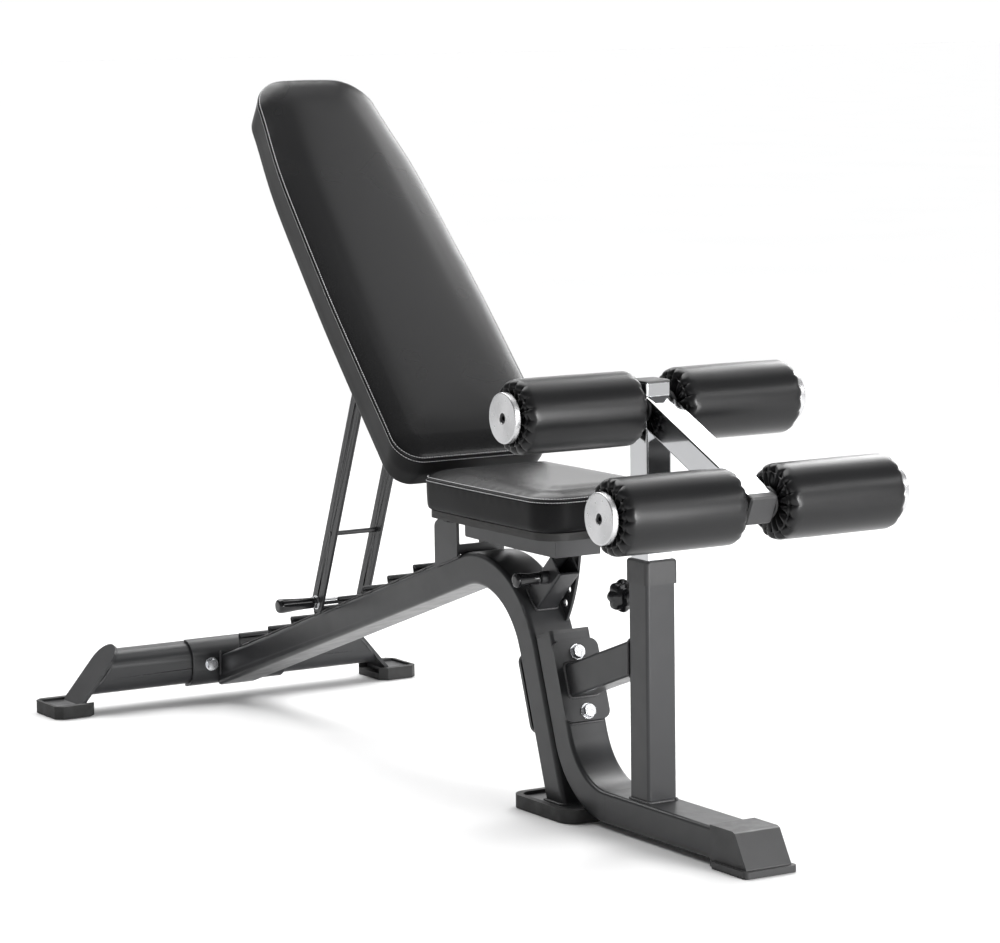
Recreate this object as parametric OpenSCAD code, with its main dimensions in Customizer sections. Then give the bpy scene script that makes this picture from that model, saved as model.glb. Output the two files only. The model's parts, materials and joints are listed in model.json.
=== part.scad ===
// Adjustable weight bench: bent spine with a ladder rack, reclining back pad,
// tilting seat and a telescoping foam-roller leg holder. Millimetres, +Z up.
// +X points to the leg holder, +Y to the sitter's left. The origin is on the
// floor, in the middle of the bench's outline.

/* [Frame tubes] */
// width of the spine tube, across the bench
spine_w = 76; // [70:1:80]
// depth of the spine tube, in its bending plane
spine_h = 50; // [46:1:52]
// wall of the frame tubes
wall = 3; // [2:0.5:4]
// slope of the spine, degrees
slope = 18.5; // [18:0.25:19]
// centreline radius of the spine's front bend
bend_r = 152; // [148:1:156]
// width of the front leg frame tube
front_w = 70; // [66:1:74]
// depth of the front leg frame tube
front_h = 48; // [46:1:50]
// length of the front leg frame ahead of the post
front_reach = 250; // [230:5:256]

/* [Post and leg holder] */
// outer size of the square post
post_w = 50; // [49:0.5:52]
// height of the post's top above the floor
post_top = 377; // [360:1:390]
// outer size of the plated inner post
inner_w = 44.5; // [44:0.1:44.6]
// height of the inner post's top
inner_top = 670; // [650:5:690]
// slope of the roller arm, degrees
arm_slope = 24.3; // [22:0.1:27]
// height of the upper roller axle
upper_z = 634; // [630:1:636]
// distance of the lower axle ahead of the post
lower_x = 250; // [246:1:252]
// height of the lower roller axle
lower_z = 519; // [517:1:523]

/* [Rollers] */
// outside radius of a foam roller
roller_r = 54; // [50:0.5:57]
// radius of a roller axle
axle_r = 10; // [9:0.5:11]
// distance of a roller's outer end from the middle
roller_out = 238; // [225:1:240]
// distance of a roller's inner end from the middle
roller_in = 33; // [31:0.5:36]
// radius of an end disc
disc_r = 36.5; // [34:0.5:38]

/* [Pads] */
// width of the back pad at its lower end
back_w0 = 286; // [270:2:300]
// width of the back pad at its upper end
back_w1 = 216; // [206:2:226]
// length of the back pad
back_len = 812; // [780:4:830]
// depth of the back pad behind its front seam
back_box = 65; // [55:1:66]
// width of the seat pad
seat_w = 242; // [230:2:256]
// length of the seat pad
seat_len = 370; // [350:2:374]
// height of the seat pad's upper seam
seat_seam = 494; // [488:1:498]
// height of the underside of the seat pad
seat_under = 443; // [441:0.5:445]
// height of the crown above a seam
crown = 16; // [10:1:18]

/* [Angles] */
// angle of the back pad above the floor
back_angle = 46; // [46:1:46]

/* [Rear stabilizer] */
// width of the oval stabilizer tube
stab_w = 74; // [70:1:78]
// height of the oval stabilizer tube
stab_h = 73; // [70:1:76]
// distance of a rear foot's outer edge from the middle
foot_y = 358; // [340:1:365]

/* [Hidden] */
$fn = 64;
cs = cos(slope);
ss = sin(slope);
// centre of the spine's front bend
bend_x = -434;
bend_z = 193.5;
// front leg frame: point on its upper straight, and its lower corner
fq_x = bend_x + (bend_r + spine_h / 2 + front_h / 2 + 0.12) * cs;
fq_z = bend_z + (bend_r + spine_h / 2 + front_h / 2 + 0.12) * ss;
base_z = 32;
front_r = 125;
corner_t = (fq_z - base_z) / cs;
corner_x = fq_x + corner_t * ss;
tan_l = front_r * tan((90 - slope) / 2);
// back pad plane: its seam plane meets the height 440 at seam_x
seam_x = -410;
cb = cos(back_angle);
sb = sin(back_angle);
pad_s0 = 95;
board_t = 12;
rail_d = back_box + board_t;
rail_h = 40;
// main hinge
hinge_x = -502;
hinge_z = 422;
// strut pivot and catch rod
strut_x = -765;
strut_z = 660;
rod_x = -950.4;
rod_z = 225.3;
rod_r = 5.5;
// seat
seat_back = -472;
seat_board_t = 12;
pin_x = -259.6;
pin_z = 353;
stub_a = atan2(pin_z - bend_z, pin_x - bend_x);
sector_r = sqrt(pow(pin_x - hinge_x, 2) + pow(pin_z - hinge_z, 2));
// stabilizer
stab_x = -1370;
stab_z = 66.5;
end_a = 50;
swell = 0.2;
// distance of the post ahead of the origin
post_x = -(stab_x - 50 + lower_x + roller_r) / 2;

frame_c = [0.16, 0.16, 0.17];
plastic_c = [0.07, 0.07, 0.07];
rubber_c = [0.09, 0.09, 0.09];
chrome_c = [0.85, 0.86, 0.88];
zinc_c = [0.7, 0.71, 0.73];
vinyl_c = [0.06, 0.06, 0.065];

module at(x = 0, y = 0, z = 0) {
    translate([post_x + x, y, z]) children();
}

// rectangle with rounded corners, exact
module rr(w, h, r) {
    square([w - 2 * r, h], center = true);
    square([w, h - 2 * r], center = true);
    for (x = [-1, 1], y = [-1, 1])
        translate([x * (w / 2 - r), y * (h / 2 - r)]) circle(r);
}

module ring(w, h, r, t) {
    difference() {
        rr(w, h, r);
        rr(w - 2 * t, h - 2 * t, r - t);
    }
}

// extrudes a profile in the XZ plane across the bench
module across(y0, y1) {
    translate([0, y1, 0]) rotate([90, 0, 0]) linear_extrude(y1 - y0) children();
}

// puts local +X along the spine and +Z square to it
module tilt(x, z, a) {
    translate([x, 0, z]) rotate([0, -a, 0]) children();
}

// tube profile extruded along local +X
module run(len) {
    rotate([90, 0, 90]) linear_extrude(len) children();
}

// puts local +X up the back pad and +Z out of its front
module on_back() {
    at(seam_x, 0, 440) rotate([0, 180 + back_angle, 0]) rotate([180, 0, 0]) children();
}

module hex(af, h) {
    cylinder(h = h, r = af / sqrt(3), $fn = 6);
}

module spine_path(w, h, r, extra) {
    tilt(bend_x - bend_r * ss, bend_z + bend_r * cs, slope)
        translate([-960, 0, 0]) run(961) rr(w, h, r);
    // the bend swells by a hair, as a press leaves it
    translate([bend_x, 0, bend_z]) rotate([90, 0, 0])
        rotate([0, 0, slope]) rotate_extrude(angle = 90)
            translate([bend_r, 0]) rr(h + swell, w + swell, r + swell / 2);
    tilt(bend_x + bend_r * cs, bend_z + bend_r * ss, slope - 90)
        translate([-1, 0, 0]) run(257 + extra) rr(w, h, r);
}

module spine_tube() color(frame_c) at() difference() {
    spine_path(spine_w, spine_h, 7, 0);
    spine_path(spine_w - 2 * wall, spine_h - 2 * wall, 4, 10);
    translate([-400, -100, -100]) cube([400, 200, 116]);
    translate([stab_x, 0, stab_z]) across(-80, 80) rr(stab_w + 10.04, stab_h + 10.04, 33);
    translate([stab_x - 270, -80, 0]) cube([300, 160, 240]);
    // through holes for the two bolts of the front frame
    for (t = [24, 114.5])
        tilt(fq_x + t * ss, fq_z - t * cs, slope)
            translate([-120, 0, 0]) rotate([0, 90, 0]) cylinder(h = 120, r = 6.1);
}

module hook_profile(h, r) {
    translate([0, 1]) square([3, h - r - 1]);
    translate([r, h - r]) difference() {
        circle(r);
        circle(r - 3);
        translate([-2 * r, -2 * r]) square([4 * r, 2 * r]);
    }
    translate([r + r - 3, h - r - 2.5]) square([3, 2.5]);
}

module ladder_rack() color(frame_c) at() tilt(-539, 345 + 0.02, slope)
    across(-33, 33) {
        translate([-768, 0]) square([783, 3]);
        for (k = [-2:4])
            translate([(-443 + 85 * k) / cs, 0]) hook_profile(15, 4.7);
        translate([-723 / cs, 0]) hook_profile(24, 6);
    }

module hinge_bracket() color(frame_c) at() {
    for (y = [-spine_w / 2 - 5.02, spine_w / 2 + 0.02])
        across(y, y + 5) difference() {
            translate([-556, 318]) hull() {
                polygon([[0, 17.5], [70, 41], [70, 60], [0, 60]]);
                translate([12, 80]) circle(12);
                translate([54, 104]) circle(15);
            }
            translate([hinge_x, hinge_z]) circle(6.05);
        }
    // web between the plates, cut to the spine's bend
    across(-spine_w / 2 - 0.5, spine_w / 2 + 0.5) difference() {
        translate([-491.5, 340]) square([5, 37.5]);
        translate([bend_x, bend_z]) circle(bend_r + spine_h / 2 + 0.15, $fn = 360);
    }
}

module pin_stub() color(frame_c) at() difference() {
    union() {
        tilt(bend_x, bend_z, stub_a) translate([150, 0, 0]) run(118) ring(38, 38, 4, 3);
        translate([pin_x, -32, pin_z]) rotate([-90, 0, 0]) cylinder(h = 13.02, r = 10);
    }
    spine_path(spine_w, spine_h + 0.04, 6, 0);
    translate([bend_x, 30, bend_z]) rotate([90, 0, 0]) cylinder(h = 60, r = bend_r);
    translate([pin_x, -50, pin_z]) rotate([-90, 0, 0]) cylinder(h = 100, r = 5.05);
}

module stabilizer_tube() color(frame_c) at(stab_x, 0, 0) difference() {
    translate([0, 0, stab_z]) across(-320, 320) ring(stab_w, stab_h, 28, wall);
    for (m = [0, 1]) mirror([0, m, 0])
        translate([0, 300, 18]) rotate([90 - end_a, 0, 0])
            translate([-60, 0, -60]) cube([120, 150, 260]);
    for (s = [-1, 1]) translate([0, s * 57, stab_z]) rotate([0, 90, 0])
        cylinder(h = 60, r = 6.1);
}

module saddle_plate() color(frame_c) at(stab_x, 0, stab_z) difference() {
    intersection() {
        across(-92, 92) difference() {
            rr(stab_w + 10, stab_h + 10, 33);
            rr(stab_w, stab_h, 28);
        }
        translate([6, -100, -60]) cube([60, 200, 120]);
    }
    for (s = [-1, 1]) translate([0, s * 57, 0]) rotate([0, 90, 0])
        cylinder(h = 60, r = 6.1);
}

module bolt_head(shank) {
    // washer, hex head, and a shank that runs back along -Z
    cylinder(h = 2, r = 12);
    translate([0, 0, 2]) intersection() {
        hex(18, 8);
        cylinder(h = 8, r1 = 12.4, r2 = 9.4);
    }
    translate([0, 0, -shank]) cylinder(h = shank + 0.01, r = 6);
}

module saddle_bolts() color(zinc_c) at(stab_x + stab_w / 2 + 5.02, 0, stab_z)
    for (s = [-1, 1]) translate([0, s * 57, 0]) rotate([0, 90, 0]) bolt_head(26);

module stabilizer_feet() color(frame_c) at(stab_x, 0, 0)
    for (m = [0, 1]) mirror([0, m, 0]) {
        difference() {
            translate([0, 300, 18]) rotate([90 - end_a, 0, 0]) rotate([90, 0, 0])
                translate([0, 0, -6]) linear_extrude(6) {
                    translate([-36.8, -14]) square([73.6, 96]);
                    translate([0, 82]) circle(37);
                }
            translate([-60, 250, -40]) cube([120, 120, 54]);
            translate([-60, 250, -40]) cube([120, 46, 58]);
        }
        translate([-37, 300, 12]) cube([74, 52, 6]);
    }

module rear_pads() color(rubber_c) at(stab_x, 0, 0)
    for (m = [0, 1]) mirror([0, m, 0]) difference() {
        linear_extrude(22)
            polygon([[-38, 283], [38, 283], [50, 296], [50, 346], [38, foot_y],
                [-38, foot_y], [-50, 346], [-50, 296]]);
        translate([-37.5, 270, 12]) cube([75, 82.5, 20]);
    }

module leg_plate() color(frame_c) at(-214, 0, 10)
    linear_extrude(6) rr(146, 112, 18);

module leg_pad() color(rubber_c) at() difference() {
    translate([-214, 0, 0]) linear_extrude(21) rr(168, 134, 26);
    translate([-214, 0, 10]) linear_extrude(20) rr(146.6, 112.6, 18.3);
    // clear of the front frame's lower bend
    translate([corner_x + tan_l, front_w / 2 + 0.6, base_z + front_r]) rotate([90, 0, 0])
        cylinder(h = front_w + 1.2, r = front_r + front_h / 2 + 0.6, $fn = 128);
}

module front_path(w, h, r, a, b) {
    // upper straight beside the leg, bend, and the floor run
    tilt(fq_x - a * ss, fq_z + a * cs, slope - 90)
        run(corner_t - tan_l + a + 1) rr(w, h, r);
    translate([corner_x + tan_l, 0, base_z + front_r]) rotate([90, 0, 0])
        rotate([0, 0, 180 + slope]) rotate_extrude(angle = 90 - slope)
            translate([front_r, 0]) rr(h + swell, w + swell, r + swell / 2);
    translate([corner_x + tan_l - 1, 0, base_z])
        run(b - corner_x - tan_l + 1) rr(w, h, r);
}

module leg_frame() color(frame_c) at() difference() {
    front_path(front_w, front_h, 6, 8, front_reach);
    front_path(front_w - 2 * wall, front_h - 2 * wall, 3, 9, front_reach + 2);
    for (t = [24, 114.5])
        tilt(fq_x + t * ss, fq_z - t * cs, slope)
            translate([-60, 0, 0]) rotate([0, 90, 0]) cylinder(h = 120, r = 6.1);
}

module leg_frame_cap() color(plastic_c) at()
    tilt(fq_x, fq_z, slope) translate([0, 0, 8.02]) {
        linear_extrude(5) rr(front_h - 0.6, front_w, 6);
        translate([0, 0, -12]) linear_extrude(12.01)
            rr(front_h - 2 * wall - 0.4, front_w - 2 * wall - 0.4, 2.5);
    }

module front_plate() color(frame_c) at()
    tilt(fq_x, fq_z, slope) translate([front_h / 2 + 0.02, 0, -66.5]) rotate([0, 90, 0])
        linear_extrude(6) difference() {
            rr(124, 80, 14);
            for (t = [-42.5, 48]) translate([t, 0]) circle(6.1);
        }

module rear_plate() color(frame_c) at()
    tilt(fq_x, fq_z, slope) translate([-front_h / 2 - spine_h - 6.16, 0, -66.5])
        rotate([0, 90, 0]) linear_extrude(6) difference() {
            rr(124, 76, 14);
            for (t = [-42.5, 48]) translate([t, 0]) circle(6.1);
        }

module attach_bolts() color(zinc_c) at()
    for (t = [24, 114.5]) tilt(fq_x + t * ss, fq_z - t * cs, slope) {
        translate([front_h / 2 + 6.04, 0, 0]) rotate([0, 90, 0]) bolt_head(130);
        translate([-front_h / 2 - spine_h - 6.18, 0, 0]) rotate([0, -90, 0]) {
            cylinder(h = 2, r = 12);
            translate([0, 0, 2]) hex(18, 10);
        }
    }

module brace_tube() color(frame_c) at() difference() {
    tilt(-25, 264, 19.4) translate([-260, 0, 0]) run(320) ring(post_w, 50, 5, wall);
    translate([-post_w / 2 - 0.02, -60, 0]) cube([200, 120, 500]);
    tilt(fq_x, fq_z, slope) translate([-300 + front_h / 2 + 6.04, -60, -300])
        cube([300, 120, 500]);
}

module post_tube() color(frame_c) at() difference() {
    translate([0, 0, base_z + front_h / 2 + 0.02])
        linear_extrude(post_top - base_z - front_h / 2) ring(post_w, post_w, 5, (post_w - 45) / 2);
    translate([-60, 0, 347]) rotate([0, 90, 0]) cylinder(h = 60, r = 5.2);
}

module post_collar() color(plastic_c) at(0, 0, post_top + 0.04) difference() {
    union() {
        linear_extrude(32) rr(56, 56, 7);
        translate([0, 0, 32]) linear_extrude(3, scale = 0.94) rr(56, 56, 7);
    }
    translate([0, 0, -1]) linear_extrude(50) square(inner_w + 0.2, center = true);
}

module knob_nut() color(frame_c) at(-post_w / 2 - 0.02, 0, 347) rotate([0, -90, 0]) difference() {
    cylinder(h = 26, r = 11);
    translate([0, 0, -1]) cylinder(h = 30, r = 5.1);
}

module star_knob() color(plastic_c) at(-62, 0, 347) rotate([0, -90, 0]) difference() {
    union() {
        translate([0, 0, 6]) linear_extrude(18) {
            circle(19);
            for (i = [0:7]) rotate(i * 45 + 22.5) translate([19, 0]) circle(6);
        }
        cylinder(h = 6.02, r1 = 12, r2 = 17);
        translate([0, 0, 24]) cylinder(h = 5, r1 = 20, r2 = 15);
    }
    translate([0, 0, -1]) cylinder(h = 19, r = 5);
}

module knob_stud() color(zinc_c) at(-22.8, 0, 347) rotate([0, -90, 0])
    cylinder(h = 56, r = 4.99);

module foot_cap() color(plastic_c) at() difference() {
    union() {
        across(-38.5, 38.5)
            polygon([[202, 0], [202, 60.5], [258, 60.5], [264, 58], [291, 12], [291, 0]]);
        translate([254, 0, 0]) linear_extrude(10) rr(90, 90, 8);
    }
    translate([base_z, 0, 0]) translate([0, 0, base_z]) run(front_reach + 0.4 - base_z)
        rr(front_w + 0.4, front_h + 0.4, 6.2);
    for (i = [0:13]) translate([212 + i * 6.2, -50, -1]) cube([2.6, 100, 2.6]);
}

module hinge_bolt() color(zinc_c) at(hinge_x, 0, hinge_z) {
    translate([0, 43.02, 0]) rotate([-90, 0, 0]) bolt_head(98);
    translate([0, -43.02, 0]) rotate([90, 0, 0]) {
        cylinder(h = 2, r = 12);
        translate([0, 0, 2]) hex(18, 9);
    }
}

// outline of the back pad from its lower end, inset by d
module back_outline(d, r) {
    low = r + 14;
    top = r + 30;
    hull() {
        for (s = [-1, 1]) {
            translate([pad_s0 + d + low, s * (back_w0 / 2 - d - low)])
                circle(low, $fn = 32);
            // the sides bow out a little between the ends
            translate([pad_s0 + 335, s * (back_w0 / 2 - 2.5 - d - 40)])
                circle(40, $fn = 32);
            translate([pad_s0 + 560, s * (back_w0 / 2 - 12.5 - d - 40)])
                circle(40, $fn = 32);
            translate([pad_s0 + 645, s * (back_w0 / 2 - 20.2 - d - 40)])
                circle(40, $fn = 32);
            translate([pad_s0 + back_len - d - top, s * (back_w1 / 2 - d - top)])
                circle(top, $fn = 36);
        }
    }
}

module back_pad() color(vinyl_c) on_back() hull() {
    translate([0, 0, -back_box]) linear_extrude(40) back_outline(2, 30);
    translate([0, 0, -back_box + 4]) linear_extrude(34) back_outline(0, 32);
    translate([7, 0, -14]) linear_extrude(2) back_outline(3, 30);
    translate([14, 0, -1]) linear_extrude(1) back_outline(8, 30);
    translate([24, 0, 7]) linear_extrude(1) back_outline(19, 28);
    translate([36, 0, crown - 1]) linear_extrude(1) back_outline(46, 24);
}

module back_board() color(plastic_c) on_back()
    translate([0, 0, -back_box - board_t - 0.02]) linear_extrude(board_t)
        back_outline(24, 12);

module back_rails() color(frame_c) on_back() difference() {
    for (s = [-1, 1]) {
        translate([pad_s0 + 30, s * 21, -rail_d - rail_h / 2 - 0.04])
            run(620) ring(22, rail_h, 4, 2);
        for (x = [pad_s0 + 60, pad_s0 + 560])
            translate([x, s * 64.5 - 33.5, -rail_d - 5.04]) cube([40, 67, 5]);
    }
    at_pivot() cylinder(h = 80, r = 6.05, center = true);
}

// local axis of the strut pivot, in the back pad's frame
module at_pivot() {
    translate([-(strut_x - seam_x) * cb + (strut_z - 440) * sb, 0,
        (strut_x - seam_x) * sb + (strut_z - 440) * cb]) rotate([90, 0, 0]) children();
}

module back_lugs() color(frame_c) on_back() difference() {
    for (s = [-1, 1]) translate([0, s > 0 ? 37.6 : -32.04, 0]) rotate([90, 0, 0])
        linear_extrude(5.56) difference() {
            hull() {
                translate([-(hinge_x - seam_x) * cb + (hinge_z - 440) * sb,
                    (hinge_x - seam_x) * sb + (hinge_z - 440) * cb]) circle(14);
                translate([pad_s0 + 30, -rail_d - rail_h + 6]) square([90, rail_h - 14]);
            }
            translate([pad_s0 + 6, -rail_d - 5.12]) square([200, 60]);
        }
    translate([-(hinge_x - seam_x) * cb + (hinge_z - 440) * sb, 60,
        (hinge_x - seam_x) * sb + (hinge_z - 440) * cb])
        rotate([90, 0, 0]) cylinder(h = 120, r = 6.05);
}

module rail_caps() color(plastic_c) on_back()
    for (s = [-1, 1], e = [0, 1])
        translate([e > 0 ? pad_s0 + 650.02 : pad_s0 + 26.98, s * 21, -rail_d - rail_h / 2 - 0.04]) {
            run(3) rr(22, rail_h, 4);
            translate([e > 0 ? -12 : 2.9, 0, 0]) run(12.1) rr(17.6, rail_h - 4.4, 2);
        }

module back_screws() color(zinc_c) on_back()
    for (s = [-1, 1], x = [pad_s0 + 80, pad_s0 + 580])
        translate([x, s * 84, -rail_d - 5.06]) mirror([0, 0, 1]) difference() {
            cylinder(h = 5, r1 = 9, r2 = 7);
            translate([0, 0, 2]) hex(6, 4);
        }

module strut_bolt() color(zinc_c) at(strut_x, 0, strut_z) rotate([90, 0, 0]) {
    cylinder(h = 90.4, r = 6, center = true);
    for (s = [0, 1]) mirror([0, 0, s]) {
        translate([0, 0, 32.1]) cylinder(h = 7.7, r = 10);
        translate([0, 0, 45.2]) cylinder(h = 1.6, r = 11);
        translate([0, 0, 46.8]) intersection() {
            hex(18, 7);
            cylinder(h = 7, r1 = 12, r2 = 9.2);
        }
    }
}

module strut_bars() color(frame_c) at() difference() {
    for (s = [-1, 1]) across(s > 0 ? 40 : -45, s > 0 ? 45 : -40) hull() {
        translate([strut_x, strut_z]) circle(17.5);
        translate([rod_x, rod_z]) circle(17.5);
    }
    translate([strut_x, 0, strut_z]) rotate([90, 0, 0])
        cylinder(h = 120, r = 6.06, center = true);
    translate([rod_x, 0, rod_z]) rotate([90, 0, 0])
        cylinder(h = 120, r = rod_r + 0.03, center = true);
    translate([rod_x + 0.28 * (strut_x - rod_x), 0, rod_z + 0.28 * (strut_z - rod_z)])
        rotate([90, 0, 0]) cylinder(h = 120, r = 4.03, center = true);
}

module mid_rod() color(frame_c)
    at(rod_x + 0.28 * (strut_x - rod_x), 0, rod_z + 0.28 * (strut_z - rod_z))
        rotate([90, 0, 0]) cylinder(h = 92, r = 4, center = true);

module catch_rod() color(chrome_c) at(rod_x, 0, rod_z) rotate([90, 0, 0])
    cylinder(h = 216, r = rod_r, center = true);

module grips() color(plastic_c) at(rod_x, 0, rod_z)
    for (m = [0, 1]) mirror([0, m, 0]) translate([0, 53.1, 0]) rotate([-90, 0, 0]) difference() {
        rotate_extrude() polygon([[0, 0], [8.5, 0], [9, 3], [9, 20], [11.5, 50],
            [12, 60], [10.5, 64], [7, 66], [0, 66]]);
        translate([0, 0, -1]) cylinder(h = 56.2, r = rod_r + 0.02);
    }

module grip_nuts() color(chrome_c) at(rod_x, 0, rod_z)
    for (m = [0, 1]) mirror([0, m, 0]) translate([0, 45.02, 0]) rotate([-90, 0, 0]) difference() {
        union() {
            cylinder(h = 2, r = 12);
            translate([0, 0, 2]) hex(18, 6);
        }
        translate([0, 0, -1]) cylinder(h = 20, r = rod_r + 0.02);
    }

module seat_outline(d) {
    hull() {
        for (s = [-1, 1]) {
            translate([seat_back + d + 26, s * (seat_w / 2 - 3 - d - 26)]) circle(26, $fn = 32);
            translate([seat_back + seat_len * 0.45, s * (seat_w / 2 - d - 26)]) circle(26, $fn = 32);
            translate([seat_back + seat_len - d - 40, s * (seat_w / 2 - 3 - d - 40)])
                circle(40, $fn = 32);
        }
    }
}

module seat_pad() color(vinyl_c) at() hull() {
    translate([0, 0, seat_under]) linear_extrude(34) seat_outline(2);
    translate([0, 0, seat_under + 4]) linear_extrude(26) seat_outline(0);
    translate([0, 0, seat_seam - 2]) linear_extrude(1) seat_outline(6);
    translate([0, 0, seat_seam + 7]) linear_extrude(1) seat_outline(16);
    translate([0, 0, seat_seam + crown - 1]) linear_extrude(1) seat_outline(38);
}

module seat_board() color(plastic_c) at(0, 0, seat_under - seat_board_t - 0.02)
    linear_extrude(seat_board_t) seat_outline(7);

module seat_frame() color(frame_c) at() difference() {
    translate([-466, -40, 391]) cube([266, 80, 39.94]);
    translate([-463, -37, 380]) cube([260, 74, 48]);
    translate([-470, -37, 380]) cube([20, 74, 48]);
    across(-50, 50) polygon([[-467, 380], [-467, 396], [-463, 393], [-320, 391.3], [-320, 380]]);
    for (s = [-1, 1], x = [-400, -310]) translate([x, s * 24, 420]) cylinder(h = 20, r = 4.2);
}

module seat_tongue() color(frame_c) at() difference() {
    union() {
        across(-9, 9) hull() {
            translate([hinge_x, hinge_z]) circle(5.4);
            translate([-402, 416]) square([2, 11.5]);
            translate([-480, 416]) square([2, 11.5]);
        }
        translate([hinge_x, -31.8, hinge_z]) rotate([-90, 0, 0]) cylinder(h = 63.6, r = 10.5);
    }
    translate([hinge_x, -60, hinge_z]) rotate([-90, 0, 0]) cylinder(h = 120, r = 6.05);
}

module sector_plate() color(frame_c) at() difference() {
    across(25, 30) {
        difference() {
            translate([hinge_x, hinge_z]) circle(sector_r + 15, $fn = 180);
            translate([hinge_x, hinge_z]) circle(sector_r - 16, $fn = 180);
            translate([bend_x, bend_z]) circle(bend_r + spine_h / 2 + 3, $fn = 128);
            translate([-900, 391]) square([900, 400]);
            translate([-900, -200]) square([560, 900]);
        }
        translate([-272, 385]) square([36, 42.5]);
    }
    for (i = [0, 1, 2]) translate([hinge_x, 0, hinge_z])
        rotate([0, atan2(hinge_z - pin_z, pin_x - hinge_x) + i * 5.6, 0])
            translate([sector_r, 0, 0]) rotate([-90, 0, 0]) cylinder(h = 60, r = 5.4);
}

module seat_screws() color(zinc_c) at(0, 0, 427.96)
    for (s = [-1, 1], x = [-400, -310]) translate([x, s * 24, 0]) mirror([0, 0, 1])
        difference() {
            cylinder(h = 5, r1 = 9, r2 = 7);
            translate([0, 0, 2]) hex(6, 4);
        }

module seat_pin() color(zinc_c) at(pin_x, 0, pin_z) rotate([90, 0, 0])
    translate([0, 0, -24.4]) cylinder(h = 76, r = 5);

module seat_pin_knob() color(plastic_c) at(pin_x, -32.6, pin_z) rotate([90, 0, 0]) difference() {
    rotate_extrude() polygon([[0, 0], [8.5, 0], [9.5, 3], [8.6, 12], [9.2, 26],
        [11.2, 36], [11, 40], [8, 43], [0, 43.6]]);
    translate([0, 0, -1]) cylinder(h = 20.2, r = 5.01);
}

module inner_post() color(chrome_c) at() difference() {
    translate([0, 0, 180]) linear_extrude(inner_top - 180) ring(inner_w, inner_w, 4, 2);
    translate([0, 0, upper_z]) rotate([90, 0, 0])
        cylinder(h = 80, r = axle_r + 0.04, center = true);
}

module arm_tube() color(chrome_c) at() difference() {
    tilt(29, 624.5, -arm_slope) translate([-60, 0, 0]) run(321.4) ring(inner_w, inner_w, 4, 2);
    translate([-178 + inner_w / 2 + 0.02, -60, 500]) cube([178, 120, 300]);
    translate([lower_x, 0, lower_z]) rotate([90, 0, 0])
        cylinder(h = 80, r = axle_r + 0.04, center = true);
}

module post_cap() color(plastic_c) at(0, 0, inner_top + 0.02) {
    linear_extrude(3) rr(inner_w, inner_w, 4);
    translate([0, 0, 3]) linear_extrude(1.4, scale = 0.86) rr(inner_w - 2, inner_w - 2, 3);
    translate([0, 0, -12]) linear_extrude(12.01) rr(inner_w - 4.5, inner_w - 4.5, 2);
}

module arm_cap() color(plastic_c) at() tilt(29, 624.5, -arm_slope)
    translate([261.42, 0, 0]) {
        run(10) rr(inner_w, inner_w, 4);
        translate([9.99, 0, 0]) rotate([90, 0, 90]) linear_extrude(2, scale = 0.9)
            rr(inner_w - 1, inner_w - 1, 4);
    }

module at_axle(i) {
    at(i == 0 ? 0 : lower_x, 0, i == 0 ? upper_z : lower_z) children();
}

module axles() color(chrome_c)
    for (i = [0, 1]) at_axle(i) rotate([90, 0, 0]) difference() {
        cylinder(h = 2 * (roller_out + 2.4), r = axle_r, center = true);
        for (s = [-1, 1]) translate([0, 0, s * (roller_out + 2.4)])
            cylinder(h = 40, r = 4.1, center = true);
    }

module end_discs() color(chrome_c)
    for (i = [0, 1], m = [0, 1]) at_axle(i) mirror([0, m, 0])
        translate([0, roller_out + 2.42, 0]) rotate([-90, 0, 0]) difference() {
            union() {
                cylinder(h = 8, r = disc_r);
                translate([0, 0, 8]) cylinder(h = 1.5, r1 = disc_r, r2 = disc_r - 1.5);
            }
            translate([0, 0, -1]) cylinder(h = 12, r = 4.1);
            translate([0, 0, 3]) cylinder(h = 12, r = 7.3);
        }

module disc_bolts() color(zinc_c)
    for (i = [0, 1], m = [0, 1]) at_axle(i) mirror([0, m, 0])
        translate([0, roller_out + 5.44, 0]) rotate([-90, 0, 0]) difference() {
            union() {
                cylinder(h = 4.5, r = 7.2);
                translate([0, 0, -21]) cylinder(h = 21.01, r = 4);
            }
            translate([0, 0, 1.2]) hex(7, 5);
        }

module foam(i, m) color(vinyl_c) at_axle(i) mirror([0, m, 0])
    translate([0, roller_in, 0]) rotate([-90, 0, 0]) rotate_extrude($fn = 96) {
        difference() {
            union() {
                translate([14, 0]) square([roller_r - 14 - 14, roller_out - roller_in]);
                translate([14, 14]) square([roller_r - 14, roller_out - roller_in - 28]);
                translate([roller_r - 14, 14]) circle(14, $fn = 40);
                translate([roller_r - 14, roller_out - roller_in - 14]) circle(14, $fn = 40);
            }
            translate([-20, -20]) square([34.02, 400]);
        }
    }

module core(i, m) color(plastic_c) at_axle(i) mirror([0, m, 0])
    rotate([-90, 0, 0]) difference() {
        union() {
            translate([0, 0, roller_in]) cylinder(h = roller_out - roller_in + 1, r = 14);
            translate([0, 0, roller_in - 4.5]) cylinder(h = 4.5, r1 = 19, r2 = 24);
        }
        translate([0, 0, 10]) cylinder(h = roller_out, r = axle_r + 0.08);
    }

module foam_upper_right() foam(0, 1);
module core_upper_right() core(0, 1);
module foam_upper_left() foam(0, 0);
module core_upper_left() core(0, 0);
module foam_lower_right() foam(1, 1);
module core_lower_right() core(1, 1);
module foam_lower_left() foam(1, 0);
module core_lower_left() core(1, 0);

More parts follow.
